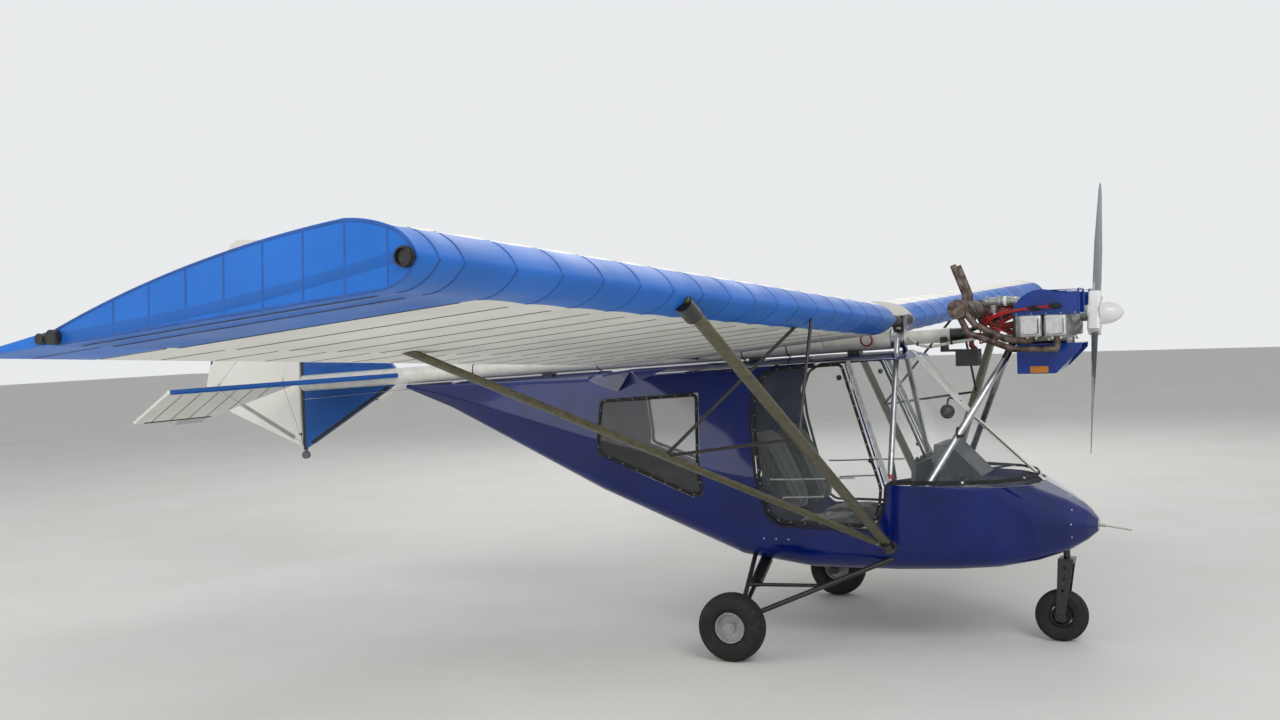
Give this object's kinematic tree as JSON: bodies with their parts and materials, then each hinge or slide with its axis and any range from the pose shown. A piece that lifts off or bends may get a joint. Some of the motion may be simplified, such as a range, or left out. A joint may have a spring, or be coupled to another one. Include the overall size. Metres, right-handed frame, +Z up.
{
  "type": "two-seat high-wing ultralight aircraft",
  "caption": "High-wing ultralight aircraft with a glazed cabin pod, tractor engine, strutted fabric wings, boom tail and three-wheel landing gear.",
  "frame": {"origin": "centre of the parked aircraft's box, on the ground", "axes": "+X forward along the flight direction, +Y to port, +Z up"},
  "size_m": [6.2907, 9.6072, 2.5],
  "materials": {
    "pod_paint": "glossy dark blue paint on laminate",
    "clear_glazing": "clear sheet",
    "black_rubber": "matt",
    "white_paint": "white paint on aluminium",
    "wing_fabric": "bright blue and white sailcloth",
    "white_fabric": "white sailcloth",
    "tail_fabric": "blue sailcloth",
    "black_steel": "black paint",
    "bare_aluminium": "satin",
    "cast_alloy": "cast",
    "blue_moulding": "glossy blue",
    "rusted_steel": "heat-browned steel",
    "white_moulding": "white gelcoat",
    "olive_strut": "satin khaki",
    "tyre_rubber": "worn rubber",
    "grey_moulding": "matt grey",
    "seat_cloth": "dark woven cloth",
    "black_moulding": "matt black"
  },
  "bodies": {
    "airframe": {"pod_shell": "pod_paint", "windscreen": "clear_glazing", "leg_grommets": "black_rubber", "rear_window_left": "clear_glazing", "rear_window_right": "clear_glazing", "door_post_left": "bare_aluminium", "door_post_right": "bare_aluminium", "windscreen_strip": "white_paint", "pod_saddles": "black_steel", "boom": "white_paint", "wing_left": "wing_fabric", "wing_right": "wing_fabric", "wing_tubes_left": "white_paint", "wing_tubes_right": "white_paint", "wing_root_bracket": "black_steel", "cabin_tubes": "bare_aluminium", "engine_legs": "bare_aluminium", "engine_mount": "black_steel", "engine": "cast_alloy", "air_duct_left": "blue_moulding", "air_duct_right": "blue_moulding", "chin_cowl": "blue_moulding", "exhaust": "rusted_steel", "lift_struts_left": "olive_strut", "lift_struts_right": "olive_strut", "jury_struts_left": "black_steel", "jury_struts_right": "black_steel", "main_gear_left": "black_steel", "main_gear_right": "black_steel", "tail_post": "black_steel", "fin": "tail_fabric", "ventral_fin": "tail_fabric", "stabiliser_left": "tail_fabric", "stabiliser_right": "tail_fabric", "tail_skid": "grey_moulding", "seat_left": "seat_cloth", "seat_right": "seat_cloth", "cabin_frame": "bare_aluminium", "instrument_panel": "grey_moulding", "control_stick": "black_steel", "rudder_pedals": "bare_aluminium", "pitot_tube": "bare_aluminium", "ignition_box": "black_moulding"},
    "propeller": {"propeller": "white_moulding", "spinner": "white_moulding"},
    "door_left": {"door_left": "clear_glazing"},
    "door_right": {"door_right": "clear_glazing"},
    "aileron_left": {"aileron_left": "wing_fabric"},
    "aileron_right": {"aileron_right": "wing_fabric"},
    "rudder": {"rudder": "white_fabric"},
    "elevator_left": {"elevator_left": "white_fabric"},
    "elevator_right": {"elevator_right": "white_fabric", "trim_tab": "bare_aluminium"},
    "main_wheel_left": {"main_wheel_left": "bare_aluminium", "main_tyre_left": "tyre_rubber"},
    "main_wheel_right": {"main_wheel_right": "bare_aluminium", "main_tyre_right": "tyre_rubber"},
    "nose_fork": {"nose_fork": "black_steel"},
    "nose_wheel": {"nose_wheel": "bare_aluminium", "nose_tyre": "tyre_rubber"}
  },
  "joints": [
    {"name": "propeller_spin", "type": "hinge", "parent": "airframe", "child": "propeller", "pos_m": [2.996, 0, 1.762], "axis": [1, 0, 0], "continuous": true},
    {"name": "nose_steer", "type": "hinge", "parent": "airframe", "child": "nose_fork", "pos_m": [2.81, 0, 0.452], "axis": [0, 0, 1], "range_deg": [-20, 20]},
    {"name": "nose_wheel_spin", "type": "hinge", "parent": "nose_fork", "child": "nose_wheel", "pos_m": [2.775, 0, 0.14], "axis": [0, 1, 0], "continuous": true},
    {"name": "main_wheel_left_spin", "type": "hinge", "parent": "airframe", "child": "main_wheel_left", "pos_m": [1.235, 0.935, 0.18], "axis": [0, 1, 0], "continuous": true},
    {"name": "main_wheel_right_spin", "type": "hinge", "parent": "airframe", "child": "main_wheel_right", "pos_m": [1.235, -0.935, 0.18], "axis": [0, 1, 0], "continuous": true},
    {"name": "door_left_hinge", "type": "hinge", "parent": "airframe", "child": "door_left", "pos_m": [1.96829, 0.54544, 0.89394], "axis": [0.3428, 0.1987, -0.9182], "range_deg": [0, 50]},
    {"name": "door_right_hinge", "type": "hinge", "parent": "airframe", "child": "door_right", "pos_m": [1.96829, -0.54544, 0.89394], "axis": [-0.3428, 0.1987, 0.9182], "range_deg": [0, 50]},
    {"name": "rudder_hinge", "type": "hinge", "parent": "airframe", "child": "rudder", "pos_m": [-2.317, 0, 1.75], "axis": [0, 0, 1], "range_deg": [-25, 25]},
    {"name": "elevator_right_hinge", "type": "hinge", "parent": "airframe", "child": "elevator_right", "pos_m": [-2.26, 0, 1.47968], "axis": [0, 1, 0], "range_deg": [0, 50]},
    {"name": "elevator_left_hinge", "type": "hinge", "parent": "airframe", "child": "elevator_left", "pos_m": [-2.26, 0, 1.47968], "axis": [0, 1, 0], "range_deg": [0, 50]},
    {"name": "aileron_left_hinge", "type": "hinge", "parent": "airframe", "child": "aileron_left", "pos_m": [0.659, 0.00741, 1.58516], "axis": [0, 0.999, 0.0436], "range_deg": [-18, 18]},
    {"name": "aileron_right_hinge", "type": "hinge", "parent": "airframe", "child": "aileron_right", "pos_m": [0.659, -0.00741, 1.58516], "axis": [0, -0.999, 0.0436], "range_deg": [-18, 18]}
  ],
  "couplings": [
    {"joint": "elevator_left_hinge", "follows": "elevator_right_hinge", "ratio": 1},
    {"joint": "aileron_left_hinge", "follows": "aileron_right_hinge", "ratio": -1}
  ]
}
